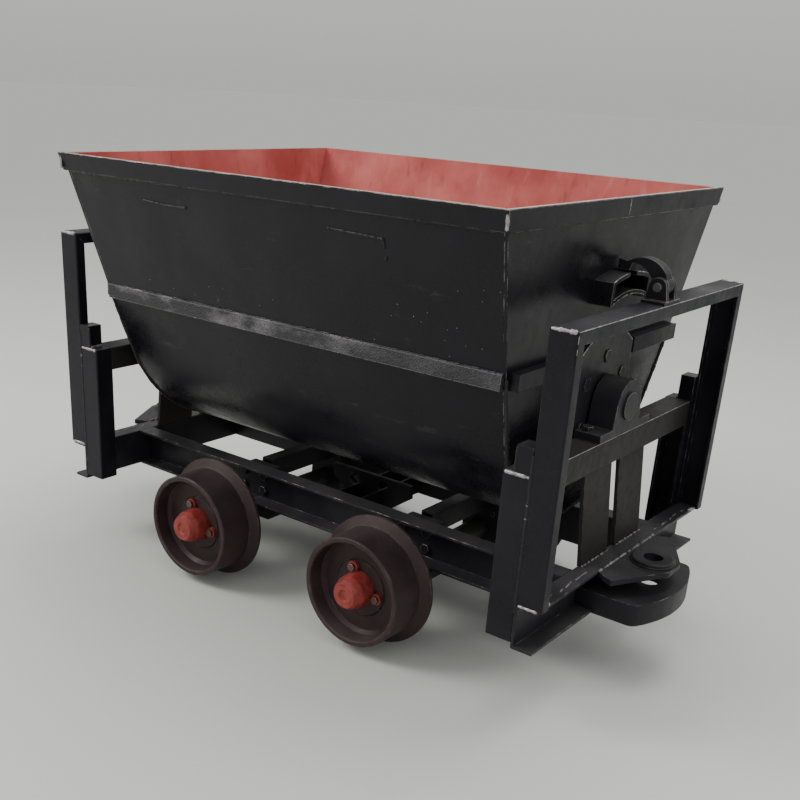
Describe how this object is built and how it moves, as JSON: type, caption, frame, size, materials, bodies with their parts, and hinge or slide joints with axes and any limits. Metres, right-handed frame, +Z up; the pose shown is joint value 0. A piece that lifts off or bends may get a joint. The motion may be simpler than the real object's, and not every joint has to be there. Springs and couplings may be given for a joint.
{
  "type": "mine cart",
  "caption": "Side-tipping mine cart with a round-bottomed steel bucket hung on end trunnions between portal frames, flanged rail wheels, latches and coupling bumpers.",
  "frame": {"origin": "below the middle of the cart, on the plane the wheel flanges touch", "axes": "+X along the track towards the front, +Y across it to the left, +Z up"},
  "size_m": [1.944, 1.1068, 1.1629],
  "materials": {
    "bucket_enamel": "semi-gloss black enamel, scuffed, bare rubbed top edge",
    "rim_enamel": "semi-gloss black enamel, rubbed along the edges",
    "rib_metal": "black enamel brushed thin over rough bare steel",
    "end_rib_enamel": "semi-gloss black enamel",
    "trunnion_enamel": "black enamel on a cast face",
    "keeper_enamel": "black enamel",
    "bolt_steel": "black enamel on bolt heads",
    "cap_bolt_steel": "dull plated steel",
    "cap_oxide": "red oxide primer, semi-matt",
    "wheel_enamel": "black enamel on cast iron, tread rubbed",
    "axle_steel": "turned steel, painted black between the wheels",
    "bearing_steel": "ground bearing steel",
    "portal_enamel": "semi-gloss black enamel, bare lit edges",
    "shelf_enamel": "black enamel with brown dust",
    "beam_enamel": "semi-gloss black enamel with weld scale",
    "underframe_enamel": "matt black enamel",
    "coupling_enamel": "semi-gloss black enamel, rubbed at the pin hole",
    "block_enamel": "black enamel on a casting",
    "latch_enamel": "black enamel, rubbed at the nose",
    "pin_steel": "dull bare steel"
  },
  "bodies": {
    "frame": {"axle_front": "axle_steel", "axle_members": "underframe_enamel", "axle_nuts": "bolt_steel", "axle_rear": "axle_steel", "axle_seats": "underframe_enamel", "bumper_front": "coupling_enamel", "bumper_rear": "coupling_enamel", "centre_bracket": "underframe_enamel", "coupling_plate_front": "coupling_enamel", "coupling_plate_rear": "coupling_enamel", "cross_beam_front": "beam_enamel", "cross_beam_rear": "beam_enamel", "foot_bolts": "bolt_steel", "inner_bearings": "bearing_steel", "inner_post_front_left": "portal_enamel", "inner_post_front_right": "portal_enamel", "inner_post_rear_left": "portal_enamel", "inner_post_rear_right": "portal_enamel", "latch_brackets": "latch_enamel", "latch_pins": "pin_steel", "long_beam_left": "beam_enamel", "long_beam_right": "beam_enamel", "outer_bearings": "bearing_steel", "portal_post_front_left": "portal_enamel", "portal_post_front_right": "portal_enamel", "portal_post_rear_left": "portal_enamel", "portal_post_rear_right": "portal_enamel", "portal_top_front": "portal_enamel", "portal_top_rear": "portal_enamel", "seat_bolts": "bolt_steel", "shelf_front": "shelf_enamel", "shelf_legs": "shelf_enamel", "shelf_rear": "shelf_enamel", "stop_blocks": "portal_enamel", "trunnion_block_front": "block_enamel", "trunnion_block_rear": "block_enamel"},
    "bucket": {"bucket_body": "bucket_enamel", "bucket_end_front": "bucket_enamel", "bucket_end_rear": "bucket_enamel", "end_ribs": "end_rib_enamel", "latch_keepers": "keeper_enamel", "rim_band": "rim_enamel", "side_ribs": "rib_metal", "trunnion_bolts": "bolt_steel", "trunnion_plate_front": "trunnion_enamel", "trunnion_plate_rear": "trunnion_enamel"},
    "wheel_set_front_right": {"wheel_front_right": "wheel_enamel", "hub_cap_front_right": "cap_oxide", "cap_bolts_front_right": "cap_bolt_steel"},
    "wheel_set_front_left": {"wheel_front_left": "wheel_enamel", "hub_cap_front_left": "cap_oxide", "cap_bolts_front_left": "cap_bolt_steel"},
    "latch_front": {"latch_hook_front": "latch_enamel"},
    "wheel_set_rear_right": {"wheel_rear_right": "wheel_enamel", "hub_cap_rear_right": "cap_oxide", "cap_bolts_rear_right": "cap_bolt_steel"},
    "wheel_set_rear_left": {"wheel_rear_left": "wheel_enamel", "hub_cap_rear_left": "cap_oxide", "cap_bolts_rear_left": "cap_bolt_steel"},
    "latch_rear": {"latch_hook_rear": "latch_enamel"}
  },
  "joints": [
    {"name": "bucket_tip", "type": "hinge", "parent": "frame", "child": "bucket", "pos_m": [0, 0, 0.68], "axis": [1, 0, 0], "range_deg": [-40, 40]},
    {"name": "wheel_turn_front_right", "type": "hinge", "parent": "frame", "child": "wheel_set_front_right", "pos_m": [0.3, -0.4, 0.175], "axis": [0, 1, 0], "continuous": true},
    {"name": "wheel_turn_front_left", "type": "hinge", "parent": "frame", "child": "wheel_set_front_left", "pos_m": [0.3, 0.4, 0.175], "axis": [0, 1, 0], "continuous": true},
    {"name": "latch_lift_front", "type": "hinge", "parent": "frame", "child": "latch_front", "pos_m": [0.8, 0, 0.975], "axis": [0, 1, 0], "range_deg": [0, 75]},
    {"name": "wheel_turn_rear_right", "type": "hinge", "parent": "frame", "child": "wheel_set_rear_right", "pos_m": [-0.3, -0.4, 0.175], "axis": [0, 1, 0], "continuous": true},
    {"name": "wheel_turn_rear_left", "type": "hinge", "parent": "frame", "child": "wheel_set_rear_left", "pos_m": [-0.3, 0.4, 0.175], "axis": [0, 1, 0], "continuous": true},
    {"name": "latch_lift_rear", "type": "hinge", "parent": "frame", "child": "latch_rear", "pos_m": [-0.8, 0, 0.975], "axis": [0, -1, 0], "range_deg": [0, 75]}
  ]
}
